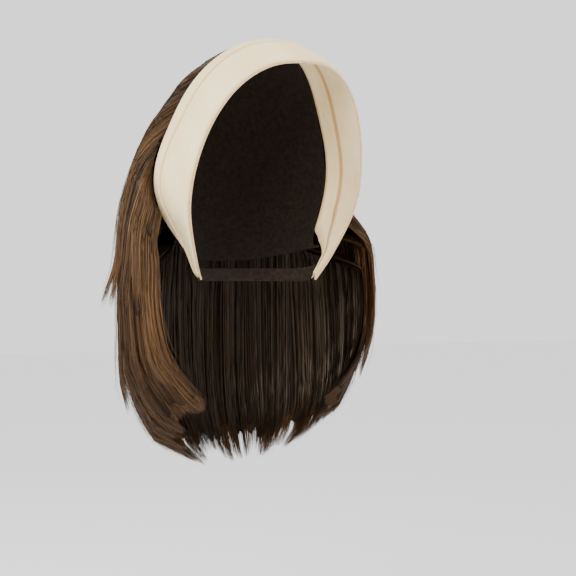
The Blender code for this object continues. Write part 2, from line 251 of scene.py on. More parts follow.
@lru_cache(maxsize=None)
def arch_point(sideways, backward, off):
    """Point above the skin, seen from the band's pivot at two angles in degrees."""
    side, back = math.radians(sideways), math.radians(backward)
    way = np.array([math.sin(side), math.cos(side) * math.sin(back), math.cos(side) * math.cos(back)])
    far = -BAND_PIVOT[2] + CROWN_RISE / 2
    for _ in range(60):
        miss = off_head(BAND_PIVOT + far * way) - off
        far -= miss * 0.9
        if abs(miss) < 1e-7:
            break
    return BAND_PIVOT + far * way


@lru_cache(maxsize=None)
def band_angles(sideways):
    """Front and rear edge of the band, in degrees back from straight up."""
    share = min(abs(sideways) / BAND_ARC, 1.0)
    reach = [station.reach for station in BAND_STATIONS]
    lean = through(reach, [station.lean for station in BAND_STATIONS], share)
    width = through(reach, [station.width for station in BAND_STATIONS], share)
    front = -BAND_LEAN * lean
    rim = arch_point(sideways, front, 0.0) - BAND_PIVOT
    return front, front + math.degrees(BAND_WIDTH * width / math.hypot(rim[1], rim[2]))


def edge_step(sideways, backward, distance):
    """Angle at the pivot that spans a distance along the skin."""
    rim = arch_point(sideways, backward, 0.0) - BAND_PIVOT
    return math.degrees(distance / math.hypot(rim[1], rim[2]))


def behind_band(sideways, distance, off):
    """Point above the skin, a distance behind the band's rear edge."""
    rear = band_angles(sideways)[1]
    return arch_point(sideways, rear + edge_step(sideways, rear, distance), off)


for degrees in (0.0, 24.0, 39.0):
    print("band edges at", degrees, "degrees:", [round(float(angle), 1) for angle in band_angles(degrees)])

# %% [markdown]
# ## A helper for cloth
#
# Band, cap and strap are all cloth that follows the head. Each is a flat grid
# whose points are laid on the head one by one, then thickened inward by
# Solidify. A vertex group called wall says how much of the full thickness
# each point gets, so an edge can be thin and round. The grid keeps its flat
# position as a UV map, so a weave can follow the cloth.

# %% Lay a grid of cloth


def laid_grid(name, columns, rows, place, wall):
    """A grid of cloth; place(along, across) gives each point and its share of the wall."""
    sheet = bmesh.new()
    uv = sheet.loops.layers.uv.new("cloth")
    bmesh.ops.create_grid(sheet, x_segments=columns, y_segments=rows, size=0.5)
    shares = []
    flat = {}
    for vertex in sheet.verts:
        flat[vertex] = (vertex.co.x + 0.5, vertex.co.y + 0.5)
    for face in sheet.faces:
        for loop in face.loops:
            loop[uv].uv = flat[loop.vert]
    for vertex in sheet.verts:
        point, share = place(*flat[vertex])
        vertex.co = point
        shares.append(float(share))
    sheet.normal_update()
    outward = sum(face.normal.dot(face.calc_center_median() - Vector((0, 0.02, -0.12))) for face in sheet.faces)
    if outward < 0:
        bmesh.ops.reverse_faces(sheet, faces=sheet.faces)
    data = bpy.data.meshes.new(name)
    sheet.to_mesh(data)
    sheet.free()
    data.shade_smooth()
    piece = bpy.data.objects.new(name, data)
    bpy.context.scene.collection.objects.link(piece)
    group = piece.vertex_groups.new(name="wall")
    for index, share in enumerate(shares):
        group.add([index], share, "REPLACE")
    solid = piece.modifiers.new("wall", "SOLIDIFY")
    solid.thickness = wall
    solid.offset = -1.0
    solid.vertex_group = "wall"
    print(name, "grid of", columns, "by", rows)
    return piece


def flat_area(piece):
    return sum(polygon.area for polygon in piece.data.polygons)


# %% [markdown]
# ## Velvet
#
# Stretch velvet is a knitted ground with a short dense pile. Two things make
# it read as velvet: light that catches the pile at grazing angles, which the
# shader's sheen gives, and soft patches where the pile leans another way.
# A broad noise tints the patches and a very fine one raises the pile. Painted shade darkens the crease and both
# rolled edges, and painted shadow darkens the troughs of the ribbed rear edge. Both are read from the cloth's own
# map.

# %% Mix the velvet
GATHER_SCALE = 66.0
# Painted shadow colour for the troughs between the rear edge's gathers.
RIB_SHADOW = (0.72, 0.54, 0.34, 1.0)
# Painted shade across the band, read from the cloth map: darker in the crease and along both rolled edges.
CREASE_PAINTED_SHADE = [
    (0.00, (0.90, 0.80, 0.66)),
    (0.04, (1.0, 1.0, 1.0)),
    (0.60, (0.99, 0.97, 0.94)),
    (0.645, (0.56, 0.38, 0.22)),
    (0.69, (0.97, 0.94, 0.90)),
    (0.94, (1.0, 0.98, 0.95)),
    (1.00, (0.85, 0.76, 0.64)),
]


def new_material(name, roughness):
    material = bpy.data.materials.new(name)
    material.use_nodes = True
    shader = material.node_tree.nodes["Principled BSDF"]
    shader.inputs["Roughness"].default_value = roughness
    return material, material.node_tree.nodes, material.node_tree.links, shader


def colour_ramp(nodes, stops):
    ramp = nodes.new("ShaderNodeValToRGB")
    while len(ramp.color_ramp.elements) < len(stops):
        ramp.color_ramp.elements.new(0.5)
    for element, (position, colour) in zip(ramp.color_ramp.elements, stops):
        element.position = position
        element.color = (*colour, 1.0)
    return ramp


def noise_on_object(nodes, links, scale, detail):
    coordinates = nodes.new("ShaderNodeTexCoord")
    noise = nodes.new("ShaderNodeTexNoise")
    noise.inputs["Scale"].default_value = scale
    noise.inputs["Detail"].default_value = detail
    links.new(coordinates.outputs["Object"], noise.inputs["Vector"])
    return noise


def raise_by(nodes, links, shader, heights, strength, distance):
    """Bump from one or more heights, added together."""
    height = heights[0]
    for other in heights[1:]:
        add = nodes.new("ShaderNodeMath")
        add.operation = "ADD"
        links.new(height, add.inputs[0])
        links.new(other, add.inputs[1])
        height = add.outputs[0]
    bump = nodes.new("ShaderNodeBump")
    bump.inputs["Strength"].default_value = strength
    bump.inputs["Distance"].default_value = distance
    links.new(height, bump.inputs["Height"])
    links.new(bump.outputs["Normal"], shader.inputs["Normal"])


def cream_velvet():
    material, nodes, links, shader = new_material("cream_velvet", 0.88)
    shader.inputs["Sheen Weight"].default_value = 0.35
    shader.inputs["Sheen Roughness"].default_value = 0.45
    shader.inputs["Sheen Tint"].default_value = (1.0, 0.88, 0.68, 1.0)
    shader.inputs["Specular IOR Level"].default_value = 0.2
    patches = noise_on_object(nodes, links, 38.0, 3.0)
    tint = colour_ramp(nodes, [(0.30, (0.95, 0.72, 0.37)), (0.55, (0.98, 0.79, 0.44)), (0.75, (1.0, 0.84, 0.52))])
    links.new(patches.outputs["Fac"], tint.inputs["Fac"])
    uv = nodes.new("ShaderNodeUVMap")
    uv.uv_map = "cloth"
    parts = nodes.new("ShaderNodeSeparateXYZ")
    links.new(uv.outputs["UV"], parts.inputs["Vector"])
    # Painted shade for the crease and the rolled edges, multiplied into the velvet's colour.
    shadow = colour_ramp(nodes, CREASE_PAINTED_SHADE)
    links.new(parts.outputs["Y"], shadow.inputs["Fac"])
    shade = nodes.new("ShaderNodeMix")
    shade.data_type = "RGBA"
    shade.blend_type = "MULTIPLY"
    shade.inputs["Factor"].default_value = 1.0
    links.new(tint.outputs["Color"], shade.inputs["A"])
    links.new(shadow.outputs["Color"], shade.inputs["B"])
    gathers = nodes.new("ShaderNodeTexWave")
    gathers.bands_direction = "X"
    gathers.inputs["Scale"].default_value = GATHER_SCALE
    gathers.inputs["Distortion"].default_value = 0.6
    links.new(uv.outputs["UV"], gathers.inputs["Vector"])
    where = colour_ramp(nodes, [(0.80, (0.0, 0.0, 0.0)), (0.88, (0.16, 0.16, 0.16)), (0.98, (0.45, 0.45, 0.45))])
    links.new(parts.outputs["Y"], where.inputs["Fac"])
    gathered = nodes.new("ShaderNodeMath")
    gathered.operation = "MULTIPLY"
    links.new(gathers.outputs["Fac"], gathered.inputs[0])
    links.new(where.outputs["Color"], gathered.inputs[1])
    # Painted shadow in the troughs between the rear edge's gathers. The same waves also raise the gathers as a
    # bump below.
    ribs = nodes.new("ShaderNodeMix")
    ribs.data_type = "RGBA"
    ribs.inputs["B"].default_value = RIB_SHADOW
    links.new(gathered.outputs[0], ribs.inputs["Factor"])
    links.new(shade.outputs["Result"], ribs.inputs["A"])
    links.new(ribs.outputs["Result"], shader.inputs["Base Color"])
    pile = noise_on_object(nodes, links, 2600.0, 2.0)
    crush = noise_on_object(nodes, links, 240.0, 2.0)
    heights = [pile.outputs["Fac"], crush.outputs["Fac"], gathered.outputs[0]]
    raise_by(nodes, links, shader, heights, 0.5, 0.0006)
    return material


velvet = cream_velvet()
print("material:", velvet.name)

# %% [markdown]
# ## The velvet band
#
# Across its width the band is not flat. The edges are turned under, so they
# are round. A lengthwise crease runs behind the middle, where the cloth is
# stitched down, and the strip behind it lifts a little over the hair's roots.
# The crease is deepest over the temples and fades as the band narrows to its
# tails. Broad low waves stand for the pull of the stretched cloth.

# %% Build the velvet band
CREASE_PLACE = 0.65
CREASE_DEPTH = 0.0016
CREASE_HALF_WIDTH = 0.03
EDGE_ROUND = 0.06
LIFT_STARTS_AT = 0.5


def band_surface(along, across):
    sideways = BAND_ARC * (2 * along - 1)
    front, rear = band_angles(sideways)
    fullness = min(1.0, (rear - front) / BAND_LEAN)
    from_edge = min(across, 1 - across) / EDGE_ROUND
    rise = 0.45 + 0.55 * math.sqrt(1 - (1 - min(from_edge, 1.0)) ** 2)
    crease = CREASE_DEPTH * fullness * math.exp(-((across - CREASE_PLACE) / CREASE_HALF_WIDTH) ** 2)
    drape = 0.00025 * fullness * math.sin(9 * across + 14 * along) * math.sin(23 * along + 3 * across)
    wall = BAND_WALL * rise - crease + drape
    lift = BAND_REAR_LIFT * fullness * smooth((across - LIFT_STARTS_AT) / (1 - LIFT_STARTS_AT))
    point = arch_point(sideways, front + (rear - front) * across, float(wall + lift))
    return point, min(wall / BAND_WALL, 1.0)


band = laid_grid("velvet_band_cloth", 300, 56, band_surface, BAND_WALL)
band.data.materials.append(velvet)
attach(band, "root")
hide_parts("velvet_band")

# %% [markdown]
# ## The tan bead along the front edge
#
# A thin tan line shows all along the front edge, darker than the velvet. It is built as a round tan bead with a
# fine slanted twist, which a bump along its length gives.

# %% Roll the front hem
BINDING_RADIUS = 0.0008
CLEARANCE = 0.0003
HEM_POINTS = 140

hem_curve = bpy.data.curves.new("front_edge_roll", "CURVE")
hem_curve.dimensions = "3D"
hem_curve.bevel_depth = BINDING_RADIUS
hem_curve.bevel_resolution = 2
hem_curve.use_fill_caps = True
hem_line = hem_curve.splines.new("POLY")
hem_line.points.add(HEM_POINTS)
for index, knot in enumerate(hem_line.points):
    sideways = BAND_ARC * (2 * index / HEM_POINTS - 1)
    front = band_angles(sideways)[0]
    ahead = edge_step(sideways, front, BINDING_RADIUS * 0.6)
    knot.co = (*arch_point(sideways, front - ahead, BINDING_RADIUS + CLEARANCE), 1.0)
hem_object = bpy.data.objects.new("front_edge_roll_curve", hem_curve)
bpy.context.scene.collection.objects.link(hem_object)
hem_mesh = bpy.data.meshes.new_from_object(hem_object.evaluated_get(bpy.context.evaluated_depsgraph_get()))
bpy.data.objects.remove(hem_object)
hem = bpy.data.objects.new("front_edge_roll", hem_mesh)
bpy.context.scene.collection.objects.link(hem)
hem_mesh.shade_smooth()


def tan_thread():
    material, nodes, links, shader = new_material("tan_thread", 0.75)
    shader.inputs["Sheen Weight"].default_value = 0.2
    twist = noise_on_object(nodes, links, 900.0, 1.0)
    tint = colour_ramp(nodes, [(0.35, (0.46, 0.31, 0.16)), (0.65, (0.66, 0.48, 0.28))])
    links.new(twist.outputs["Fac"], tint.inputs["Fac"])
    links.new(tint.outputs["Color"], shader.inputs["Base Color"])
    raise_by(nodes, links, shader, [twist.outputs["Fac"]], 0.6, 0.0003)
    return material


hem_mesh.materials.clear()
hem_mesh.materials.append(tan_thread())
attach(hem, "root")
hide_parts("front_edge_binding")
print("band area in square centimetres:", round(10000 * flat_area(band)))

# %% [markdown]
# ## The cap
#
# The hair is sewn in rows onto a small cap that reaches from the band to the nape. Worn, it can't be seen, so it
# is plain dark brown cloth, made near black as painted shade of the wig's shadowed inside. Its inside shows
# through the opening, where the rows of stitching that hold the wefts stand out as low ridges.

# %% Build the cap
CAP_WALL = 0.0015
CAP_ARC = BAND_ARC * 0.8235
CAP_HEM_BACK = 0.172
CAP_HEM_SIDE = 0.158
CAP_HEM_ANGLE = 74.0
SEAM_GAP = 0.00045
WEFT_ROWS = 15
WEFT_RIDGE = 0.0003


def skull_way(turn, depth):
    """Direction to the skin at a turn from the back of the head and a depth under the crown."""
    across, along = math.sin(math.radians(turn)), math.cos(math.radians(turn))
    below = CROWN_RISE - depth
    drop = SIDE_DROP + (NAPE_DROP - SIDE_DROP) * along ** 2
    shrink = math.sqrt(max(0.0, 1 - (below / drop) ** 2))
    reach = HEAD_BACK if along > 0 else HEAD_FRONT
    return unit(np.array([across * HEAD_HALF_WIDTH * shrink, along * reach * shrink, below]))


def blend_ways(start, end, share):
    """Direction part of the way round from one to another."""
    angle = math.acos(min(1.0, float(np.dot(start, end))))
    return (start * math.sin((1 - share) * angle) + end * math.sin(share * angle)) / math.sin(angle)


def cap_point(around, down, off):
    """Point above the cap's ground: around from -1 to 1, down from the band to the hem."""
    top = unit(behind_band(CAP_ARC * around, SEAM_GAP, 0.0) - SKULL_CENTRE)
    depth = CAP_HEM_BACK + (CAP_HEM_SIDE - CAP_HEM_BACK) * around ** 2
    hem_way = skull_way(CAP_HEM_ANGLE * around, depth)
    return on_head(blend_ways(top, hem_way, down), off)


def cap_surface(along, across):
    ridge = abs(math.cos(math.pi * WEFT_ROWS * across)) ** 6
    return cap_point(2 * along - 1, across, CAP_WALL - WEFT_RIDGE * (1 - ridge)), 1 - 0.2 * (1 - ridge)


def dark_cloth(name, dark, light, weave):
    """Plain woven cloth: crossed ribs finer than the eye counts, with a little lint."""
    material, nodes, links, shader = new_material(name, 0.85)
    shader.inputs["Sheen Weight"].default_value = 0.03
    shader.inputs["Specular IOR Level"].default_value = 0.12
    uv = nodes.new("ShaderNodeUVMap")
    uv.uv_map = "cloth"
    ribs = []
    for direction in ("X", "Y"):
        wave = nodes.new("ShaderNodeTexWave")
        wave.bands_direction = direction
        wave.inputs["Scale"].default_value = weave
        wave.inputs["Distortion"].default_value = 0.3
        links.new(uv.outputs["UV"], wave.inputs["Vector"])
        ribs.append(wave.outputs["Fac"])
    lint = noise_on_object(nodes, links, 320.0, 4.0)
    tint = colour_ramp(nodes, [(0.35, dark), (0.7, light)])
    links.new(lint.outputs["Fac"], tint.inputs["Fac"])
    links.new(tint.outputs["Color"], shader.inputs["Base Color"])
    raise_by(nodes, links, shader, ribs, 0.5, 0.0004)
    return material


cap = laid_grid("cap_cloth", 76, 90, cap_surface, CAP_WALL)
# The cap's near-black colour is partly its own dark brown and partly painted shade of the wig's inside.
cap.data.materials.append(dark_cloth("brown_cap_cloth_painted_shade", (0.007, 0.004, 0.0025), (0.016, 0.0095, 0.006), 60.0))
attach(cap, "root")
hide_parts("wig_cap")
print("cap area in square centimetres:", round(10000 * flat_area(cap)))

# %% [markdown]
# ## The nape strap
#
# Between the band's two tails runs a flat elastic strap, which pulls the wig
# snug under the back of the skull. It is ribbed along its length.

# %% Build the nape strap
STRAP_WIDTH = 0.010
STRAP_WALL = 0.0014
STRAP_DEPTH = TAIL_DEPTH - 0.0068
STRAP_TAIL_SHARE = 0.25
TAIL_SEAM_SHARE = 0.06


def tail_edge(side, down):
    sideways = BAND_ARC * (1 - TAIL_SEAM_SHARE * (1 - down))
    return behind_band(side * sideways, SEAM_GAP, STRAP_WALL)


tail_middle = tail_edge(1, 0.5)
turn_at_tail = math.degrees(math.atan2(tail_middle[0] / HEAD_HALF_WIDTH, tail_middle[1] / HEAD_BACK))


def strap_surface(along, across):
    around = 2 * along - 1
    depth = STRAP_DEPTH + STRAP_WIDTH * (across - 0.5)
    on_nape = on_head(skull_way(turn_at_tail * around, depth), STRAP_WALL)
    hold = smooth((abs(around) - 1 + STRAP_TAIL_SHARE) / STRAP_TAIL_SHARE)
    edge = tail_edge(math.copysign(1, around), across)
    return on_nape + (edge - on_nape) * hold, 1.0


strap = laid_grid("nape_strap_cloth", 80, 8, strap_surface, STRAP_WALL)
strap.data.materials.append(dark_cloth("brown_elastic", (0.014, 0.008, 0.005), (0.030, 0.019, 0.012), 30.0))
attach(strap, "root")
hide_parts("nape_elastic")
print("strap area in square centimetres:", round(10000 * flat_area(strap), 1))

# %% [markdown]
# ## How the hair falls
#
# The outermost hair leaves the band's rear edge, follows the skull, and then
# hangs free and curls in under the jaw. Level sections describe the free part.
# Each row of the table holds how far down the section is and how far the hair
# reaches at the back, the flank and the side, as shares of the full sizes. A
# place in the hair is then two numbers: around the wig from -1 to 1 through
# the back, and a stage down the hair, from the root at 0.

# %% Describe the fall of the hair
HAIR_ROOT_ARC = BAND_ARC * 0.715
HAIR_AXIS_SETBACK = 0.018
BACK_LEAVES_AT = 0.070
SIDE_LEAVES_AT = 0.140
BACK_LENGTH = 0.348
SIDE_LENGTH = 0.286
BACK_REACH = HEAD_BACK - HAIR_AXIS_SETBACK + 0.035
FLANK_REACH = (HEAD_HALF_WIDTH + HEAD_BACK) / 2 + 0.0315
SIDE_REACH = HEAD_HALF_WIDTH + 0.033
FRONT_ANGLE = 104.0
FLANK_PLACE = 0.53
SHOULDER = 2.2
ROOT_LIFT = 0.0032
SIDE_ROOT_LIFT = 0.002
LIFT_SWELL = 0.8
ROOT_SEAM_GAP = 0.0006
SKULL_STAGES = 3

HairSection = namedtuple("HairSection", "fall back flank side front")
HAIR_SECTIONS = [
    HairSection(0.00, 0.775, 0.850, 0.825, 0.890),
    HairSection(0.14, 0.900, 0.931, 0.972, 0.971),
    HairSection(0.30, 0.964, 0.974, 0.995, 0.990),
    HairSection(0.45, 1.000, 1.000, 1.000, 1.000),
    HairSection(0.61, 1.000, 0.995, 0.972, 1.019),
    HairSection(0.76, 0.973, 0.974, 0.880, 1.038),
    HairSection(0.88, 0.892, 0.897, 0.713, 1.077),
    HairSection(0.96, 0.720, 0.741, 0.574, 1.096),
    HairSection(1.00, 0.486, 0.500, 0.463, 1.077),
]
LAST_STAGE = SKULL_STAGES + len(HAIR_SECTIONS) - 1


def ring_point(section, around):
    """Where the outermost hair passes a section."""
    turn = math.radians(FRONT_ANGLE * section.front * around)
    back = BACK_REACH * section.back
    flank = FLANK_REACH * section.flank - back
    side = SIDE_REACH * section.side - back
    place, square = FLANK_PLACE ** 2, around ** 2
    steep = (flank / place - side) / (place - 1)
    reach = back + (side - steep) * square + steep * square ** 2
    forward = abs(around) ** SHOULDER
    leaves = BACK_LEAVES_AT + (SIDE_LEAVES_AT - BACK_LEAVES_AT) * forward
    hem_depth = BACK_LENGTH + (SIDE_LENGTH - BACK_LENGTH) * forward
    depth = leaves + (hem_depth - leaves) * section.fall
    return np.array([reach * math.sin(turn), HAIR_AXIS_SETBACK + reach * math.cos(turn), -depth])


@lru_cache(maxsize=None)
def outer_stages(around):
    """Points that the outermost hair passes: its root, over the skull, then each section."""
    root = behind_band(HAIR_ROOT_ARC * around, ROOT_SEAM_GAP, ROOT_LIFT + SIDE_ROOT_LIFT * around ** 2)
    sections = [ring_point(section, around) for section in HAIR_SECTIONS]
    start, end = unit(root - SKULL_CENTRE), unit(sections[0] - SKULL_CENTRE)
    leaving_lift = off_head(sections[0])
    skull = []
    for stage in range(1, SKULL_STAGES):
        share = stage / SKULL_STAGES
        lift = ROOT_LIFT + (leaving_lift - ROOT_LIFT) * share ** LIFT_SWELL
        skull.append(on_head(blend_ways(start, end, share), lift))
    return np.array([root, *skull, *sections])


def outer_hair(around, stage):
    """Point of the outermost hair, on a smooth curve through its stages."""
    points = outer_stages(around)
    index = min(max(int(stage), 0), len(points) - 2)
    t = stage - index
    before, start, end, after = (points[min(max(index + step, 0), len(points) - 1)] for step in (-1, 0, 1, 2))
    return 0.5 * (2 * start + (end - before) * t + (2 * before - 5 * start + 4 * end - after) * t ** 2
                  + (3 * start - before - 3 * end + after) * t ** 3)


def outward(around, stage):
    """Unit normal of the outermost hair."""
    step = 0.01
    across = outer_hair(around + step, stage) - outer_hair(around - step, stage)
    along = outer_hair(around, min(stage + step, LAST_STAGE)) - outer_hair(around, max(stage - step, 0))
    return unit(np.cross(across, along))


print("hair reaches in mm:", round(1000 * BACK_REACH), round(1000 * FLANK_REACH), round(1000 * SIDE_REACH))

# %% [markdown]
# ## Four curtains
#
# A layered cut is several curtains of hair, one over another, each sewn to the
# cap in its own row and each a little longer than the one above. The crown
# curtain covers everything and ends at the jaw. The upper and middle ones
# carry the curl, and the nape curtain fills the inside. A curtain starts on
# the cap, swings out from under the one above and then hangs at its own depth.

# %% Describe the curtains
HairLayer = namedtuple("HairLayer", "name root fan joins ends wall rises risen reach strands dark covered ragged")
# The dark column is painted shade. It darkens the inner curtains' strands, the nape curtain nearly to black, for
# the shaded inside of the wig.
HAIR_LAYERS = [
    HairLayer("crown_weft", 0.00, 1.00, 0.0, 6.3, 0.0035, 12.0, 0.0000, 1.00, 11000, 0.00, 3.7, 2.2),
    HairLayer("upper_weft", 0.30, 0.86, 3.0, 8.8, 0.0040, 6.8, 0.0020, 0.99, 10000, 0.03, 6.3, 1.9),
    HairLayer("middle_weft", 0.62, 0.80, 4.0, 11.0, 0.0040, 9.2, 0.0030, 0.98, 10800, 0.06, 9.5, 1.2),
    HairLayer("nape_weft", 0.84, 0.74, 5.0, 10.4, 0.0040, 9.2, 0.0100, 0.96, 5400, 0.44, 9.0, 1.3),
]
LAYER_GAP = 0.0013
CAP_CLEARANCE = 0.0008
RISE_STAGES = 1.2
HAIR_EDGE_THINNING = 0.45
ROOT_WALL_SHARE = 0.34
FULL_WALL_STAGE = 4.5
TAPER_STARTS_AT = 0.7
TIP_WALL_SHARE = 0.28
OVER_BAND_FROM = 0.6
OVER_BAND_BY = 0.9
BACK_BULGE = 0.8
SIDE_BULGE = 0.3


def layer_depth(index):
    """Depth of a layer's face under the outermost hair, beneath the layers over it."""
    return sum(layer.wall + LAYER_GAP for layer in HAIR_LAYERS[:index])


def hanging(index, around, stage):
    """A layer's face where it hangs free, coming up once the layer over it has ended."""
    layer = HAIR_LAYERS[index]
    rise = smooth((stage - layer.rises) / RISE_STAGES)
    depth = layer_depth(index) + (layer.risen - layer_depth(index)) * rise
    thin = 1 - HAIR_EDGE_THINNING * around ** 2
    return outer_hair(around, stage) - outward(around, stage) * depth * thin


def wall_at(index, around, stage):
    """Thickness of a layer: thin at the root, full as it hangs, thin at the tips."""
    layer = HAIR_LAYERS[index]
    share = ROOT_WALL_SHARE + (1 - ROOT_WALL_SHARE) * smooth(stage / FULL_WALL_STAGE)
    share += (TIP_WALL_SHARE - share) * smooth((stage / layer.ends - TAPER_STARTS_AT) / (1 - TAPER_STARTS_AT))
    return layer.wall * share * (1 - HAIR_EDGE_THINNING * around ** 2)


def layer_face(index, around, stage):
    """Outer face of a layer, from its seam on the cap to its ends."""
    layer = HAIR_LAYERS[index]
    wall = wall_at(index, around, stage)
    if stage >= layer.joins:
        point = hanging(index, around, stage)
    else:
        root_off = CAP_WALL + CLEARANCE + layer.wall * ROOT_WALL_SHARE
        root = cap_point(around * layer.fan, layer.root, root_off)
        below = cap_point(around * layer.fan, layer.root + 0.05, root_off)
        joined = hanging(index, around, layer.joins)
        leaving = hanging(index, around, layer.joins + 0.1) - joined
        bulge = BACK_BULGE + (SIDE_BULGE - BACK_BULGE) * around ** 2
        reach = np.linalg.norm(joined - root) * bulge
        t = stage / layer.joins
        point = (root * (1 + 2 * t) * (1 - t) ** 2 + unit(below - root) * reach * t * (1 - t) ** 2
                 + joined * t * t * (3 - 2 * t) + unit(leaving) * reach * t * t * (t - 1))
    over_band = smooth((abs(around) - OVER_BAND_FROM) / (OVER_BAND_BY - OVER_BAND_FROM))
    ground = CAP_WALL + (BAND_WALL + BAND_REAR_LIFT - CAP_WALL) * over_band
    clear = ground + CAP_CLEARANCE + wall
    if off_head(point) < clear:
        point = on_head(point - SKULL_CENTRE, clear)
    return point


# %% [markdown]
# Thousands of strands will each ask where a curtain lies, so each curtain is
# measured once on a fine grid. A strand then reads between the grid's points.

# %% Measure each curtain on a grid
AROUND_STEPS = 161
STAGE_STEPS = 61


class CurtainMap:
    """Face and normal of one curtain, read at any place by blending grid points."""

    def __init__(self, index):
        layer = HAIR_LAYERS[index]
        self.reach = layer.reach
        self.ends = layer.ends
        places = np.linspace(-self.reach, self.reach, AROUND_STEPS)
        stages = np.linspace(0.0, self.ends, STAGE_STEPS)
        self.face = np.array([[layer_face(index, around, stage) for stage in stages] for around in places])
        across = np.gradient(self.face, axis=0)
        along = np.gradient(self.face, axis=1)
        normal = np.cross(across, along)
        self.normal = normal / np.linalg.norm(normal, axis=-1, keepdims=True)

    def read(self, around, stage):
        """Points and normals at arrays of places, which may run slightly past the grid."""
        i = (np.asarray(around) / self.reach + 1) / 2 * (AROUND_STEPS - 1)
        j = np.asarray(stage) / self.ends * (STAGE_STEPS - 1)
        i0 = np.clip(np.floor(i).astype(int), 0, AROUND_STEPS - 2)
        j0 = np.clip(np.floor(j).astype(int), 0, STAGE_STEPS - 2)
        s, t = (i - i0)[..., None], (j - j0)[..., None]
        result = []
        for grid in (self.face, self.normal):
            result.append(grid[i0, j0] * (1 - s) * (1 - t) + grid[i0 + 1, j0] * s * (1 - t)
                          + grid[i0, j0 + 1] * (1 - s) * t + grid[i0 + 1, j0 + 1] * s * t)
        return result


curtain_maps = [CurtainMap(index) for index in range(len(HAIR_LAYERS))]
for layer, curtain in zip(HAIR_LAYERS, curtain_maps):
    print(layer.name, "lowest point in mm:", round(1000 * float(curtain.face[..., 2].min())))

# %% [markdown]
# ## Hair colour
#
# Brown hair is never one brown. Most strands are mid brown, some nearly black and some caramel, and each is
# darker at the root. Every strand carries its shade and the place along its length as a UV map, and one ramp
# turns the shade into a colour. The underlayers use the dark end of the same ramp as painted shade deep in the
# hair, and the inner curtains' strands are moved toward it as painted shade of the wig's inside, the nape curtain
# most.

# %% Mix the hair
HAIR_SHADES = [
    (0.00, (0.005, 0.0025, 0.0012)),
    (0.25, (0.017, 0.0078, 0.0034)),
    (0.50, (0.060, 0.028, 0.0105)),
    (0.75, (0.128, 0.066, 0.025)),
    (1.00, (0.280, 0.165, 0.068)),
]


def hair_material(name, roughness):
    material, nodes, links, shader = new_material(name, roughness)
    shader.inputs["Specular IOR Level"].default_value = 0.30
    shader.inputs["Specular Tint"].default_value = (1.0, 0.80, 0.60, 1.0)
    uv = nodes.new("ShaderNodeUVMap")
    uv.uv_map = "OFBake"
    parts = nodes.new("ShaderNodeSeparateXYZ")
    links.new(uv.outputs["UV"], parts.inputs["Vector"])
    ramp = colour_ramp(nodes, HAIR_SHADES)
    links.new(parts.outputs["X"], ramp.inputs["Fac"])
    depth = colour_ramp(nodes, [(0.0, (0.45, 0.45, 0.45)), (0.30, (0.9, 0.9, 0.9)), (1.0, (1.15, 1.12, 1.08))])
    links.new(parts.outputs["Y"], depth.inputs["Fac"])
    mix = nodes.new("ShaderNodeMix")
    mix.data_type = "RGBA"
    mix.blend_type = "MULTIPLY"
    mix.inputs["Factor"].default_value = 1.0
    links.new(ramp.outputs["Color"], mix.inputs["A"])
    links.new(depth.outputs["Color"], mix.inputs["B"])
    links.new(mix.outputs["Result"], shader.inputs["Base Color"])
    return material


def shade_streaked_material(name):
    """Dark cloth of hair under the strands, its dark colour painted shade deep in the hair: streaks that run down
    the fall.
    """
    material, nodes, links, shader = new_material(name, 0.7)
    shader.inputs["Specular IOR Level"].default_value = 0.08
    uv = nodes.new("ShaderNodeUVMap")
    uv.uv_map = "cloth"
    stretch = nodes.new("ShaderNodeMapping")
    stretch.inputs["Scale"].default_value = (260.0, 5.0, 1.0)
    links.new(uv.outputs["UV"], stretch.inputs["Vector"])
    streaks = nodes.new("ShaderNodeTexNoise")
    streaks.inputs["Scale"].default_value = 1.0
    streaks.inputs["Detail"].default_value = 3.0
    links.new(stretch.outputs["Vector"], streaks.inputs["Vector"])
    stops = [(0.30, HAIR_SHADES[0][1]), (0.52, (0.013, 0.006, 0.0028)), (0.72, (0.048, 0.023, 0.009))]
    ramp = colour_ramp(nodes, stops)
    links.new(streaks.outputs["Fac"], ramp.inputs["Fac"])
    links.new(ramp.outputs["Color"], shader.inputs["Base Color"])
    raise_by(nodes, links, shader, [streaks.outputs["Fac"]], 0.4, 0.0006)
    return material


strand_finish = hair_material("brown_strands", 0.40)
shaded_under_finish = shade_streaked_material("brown_underlayer_painted_shade")

# %% [markdown]
# ## Underlayers
#
# Between strands one must not see daylight, so each curtain first gets a thin dark shell in the shape of its
# locks. Its dark colour is painted shade, the shade deep inside the hair. The shell stops well short of the
# strands' tips, where the curtain below already backs them, and narrow grooves between locks let it disappear
# among the strands.

# %% Build the underlayers
UNDER_COLUMNS = 168
UNDER_ROWS = 26
UNDER_LOCKS = 42
UNDER_SINK = 0.0012
UNDER_GROOVE = 0.0007
UNDER_WALL = 0.0016


def underlayer(index):
    layer = HAIR_LAYERS[index]

    def place(along, across):
        around = layer.reach * (2 * along - 1) * 0.985
        lock = UNDER_LOCKS * along
        crest = abs(math.sin(math.pi * lock))
        uneven = math.sin(2.4 * math.floor(lock) + 1.7 * index)
        ends = layer.covered - 0.2 * uneven + 0.25 * crest
        stage = ends * across
        groove = UNDER_GROOVE * (1 - crest) * smooth(stage / 2)
        face = layer_face(index, around, stage)
        sink = min(UNDER_SINK, wall_at(index, around, stage) * 0.4) + groove
        if index == len(HAIR_LAYERS) - 1:
            sink = 0.0
        return face - outward(around, max(stage, layer.joins)) * sink, 1.0 - 0.6 * smooth((across - 0.75) / 0.25)

    piece = laid_grid(layer.name + "_underlayer", UNDER_COLUMNS, UNDER_ROWS, place, UNDER_WALL)
    piece.data.materials.append(shaded_under_finish)
    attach(piece, "root")
    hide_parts(layer.name + "_hair")
    return piece


